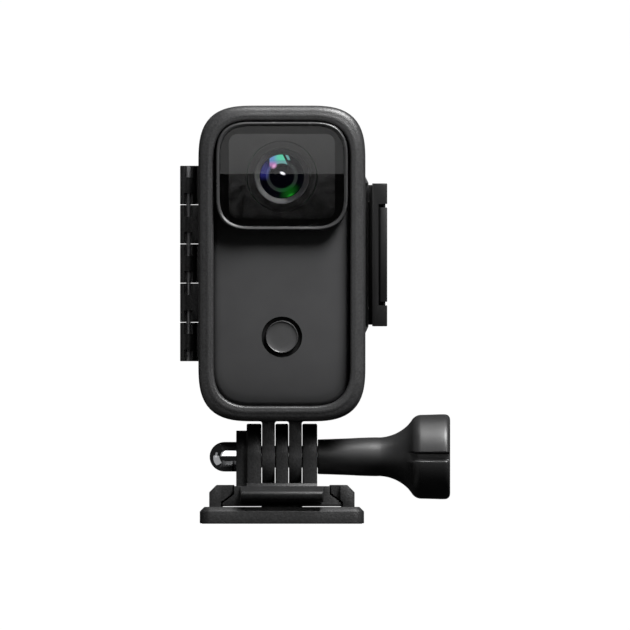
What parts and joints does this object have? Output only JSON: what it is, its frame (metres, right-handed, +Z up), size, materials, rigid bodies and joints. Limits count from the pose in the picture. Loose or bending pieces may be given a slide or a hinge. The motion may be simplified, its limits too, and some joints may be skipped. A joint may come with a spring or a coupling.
{
  "type": "action camera",
  "caption": "Upright pocket action camera in a hinged clamshell cage, on a tilting finger joint with a thumb screw, a quick-release buckle and a flat adhesive base.",
  "frame": {"origin": "centre of the adhesive face under the base", "axes": "+X to the right seen from the lens side, +Y from the lens towards the rear screen, +Z up"},
  "size_m": [0.0608, 0.0472, 0.0942],
  "materials": {
    "cage_plastic": "fine moulded grain",
    "mount_plastic": "fine moulded grain",
    "camera_plastic": "satin",
    "knob_plastic": "semi-gloss",
    "bezel_plastic": "satin",
    "black_mask": "gloss",
    "lens_metal": "satin anodised",
    "nut_chrome": "polished",
    "steel": "turned",
    "clear_glass": "polished",
    "lens_glass": "coated",
    "screen_glass": "polished",
    "screen_panel": "gloss",
    "rubber": "matte",
    "adhesive": "foam tape",
    "circuit_board": "solder mask",
    "chip": "moulded epoxy",
    "battery_wrap": "film"
  },
  "bodies": {
    "base": {"base_plate": "mount_plastic", "adhesive_pad": "adhesive"},
    "buckle": {"buckle_body": "mount_plastic", "cap_nut": "nut_chrome"},
    "left_arm": {"left_squeeze_arm": "mount_plastic"},
    "right_arm": {"right_squeeze_arm": "mount_plastic"},
    "thumb_screw": {"clamp_bolt": "steel", "thumb_knob": "knob_plastic"},
    "camera_in_cage": {"front_frame": "cage_plastic", "hinge_pin": "steel", "camera_front_shell": "camera_plastic", "camera_back_shell": "camera_plastic", "shell_seal": "rubber", "camera_screws": "steel", "lens_bezel": "bezel_plastic", "lens_window": "clear_glass", "lens_mask": "black_mask", "lens_barrel": "black_mask", "lens_retaining_ring": "lens_metal", "lens_front_element": "lens_glass", "lens_spacer_ring": "lens_metal", "lens_inner_element": "lens_glass", "sensor_board": "circuit_board", "image_sensor": "chip", "main_board": "circuit_board", "image_processor": "chip", "usb_socket": "steel", "card_socket": "steel", "port_plug": "rubber", "battery": "battery_wrap", "speaker": "chip", "microphone": "steel", "button_ring": "rubber", "button_switch": "steel", "display_panel": "screen_panel", "display_glass": "screen_glass"},
    "cage_cover": {"back_cover": "cage_plastic", "latch_pin": "steel"},
    "latch": {"latch_plate": "cage_plastic", "latch_tab_pin": "steel"},
    "latch_pull_tab": {"latch_tab": "cage_plastic"},
    "record_button": {"button_cap": "camera_plastic"}
  },
  "joints": [
    {"name": "buckle_slide", "type": "slide", "parent": "base", "child": "buckle", "axis": [0, -1, 0], "range_m": [0, 0.042]},
    {"name": "left_arm_squeeze", "type": "hinge", "parent": "buckle", "child": "left_arm", "pos_m": [-0.0096, 0.01045, 0.0063], "axis": [0, 0, -1], "range_deg": [0, 8], "stiffness_Nm_per_rad": 0.6},
    {"name": "right_arm_squeeze", "type": "hinge", "parent": "buckle", "child": "right_arm", "pos_m": [0.0096, 0.01045, 0.0063], "axis": [0, 0, 1], "range_deg": [0, 8], "stiffness_Nm_per_rad": 0.6},
    {"name": "camera_tilt", "type": "hinge", "parent": "buckle", "child": "camera_in_cage", "pos_m": [0, 0, 0.0151], "axis": [1, 0, 0], "range_deg": [-55, 55]},
    {"name": "thumb_screw_turn", "type": "hinge", "parent": "buckle", "child": "thumb_screw", "pos_m": [0, 0, 0.0151], "axis": [1, 0, 0], "continuous": true},
    {"name": "cover_hinge", "type": "hinge", "parent": "camera_in_cage", "child": "cage_cover", "pos_m": [-0.02105, 0.0071, 0.0586], "axis": [0, 0, 1], "range_deg": [0, 165]},
    {"name": "latch_swing", "type": "hinge", "parent": "cage_cover", "child": "latch", "pos_m": [0.02107, 0.0091, 0.0606], "axis": [0, 0, 1], "range_deg": [0, 110]},
    {"name": "latch_tab_lift", "type": "hinge", "parent": "latch", "child": "latch_pull_tab", "pos_m": [0.0228, 0.0046, 0.0606], "axis": [0, 0, 1], "range_deg": [0, 30]},
    {"name": "record_press", "type": "slide", "parent": "camera_in_cage", "child": "record_button", "axis": [0, 1, 0], "range_m": [0, 0.0005], "stiffness_N_per_m": 800}
  ]
}
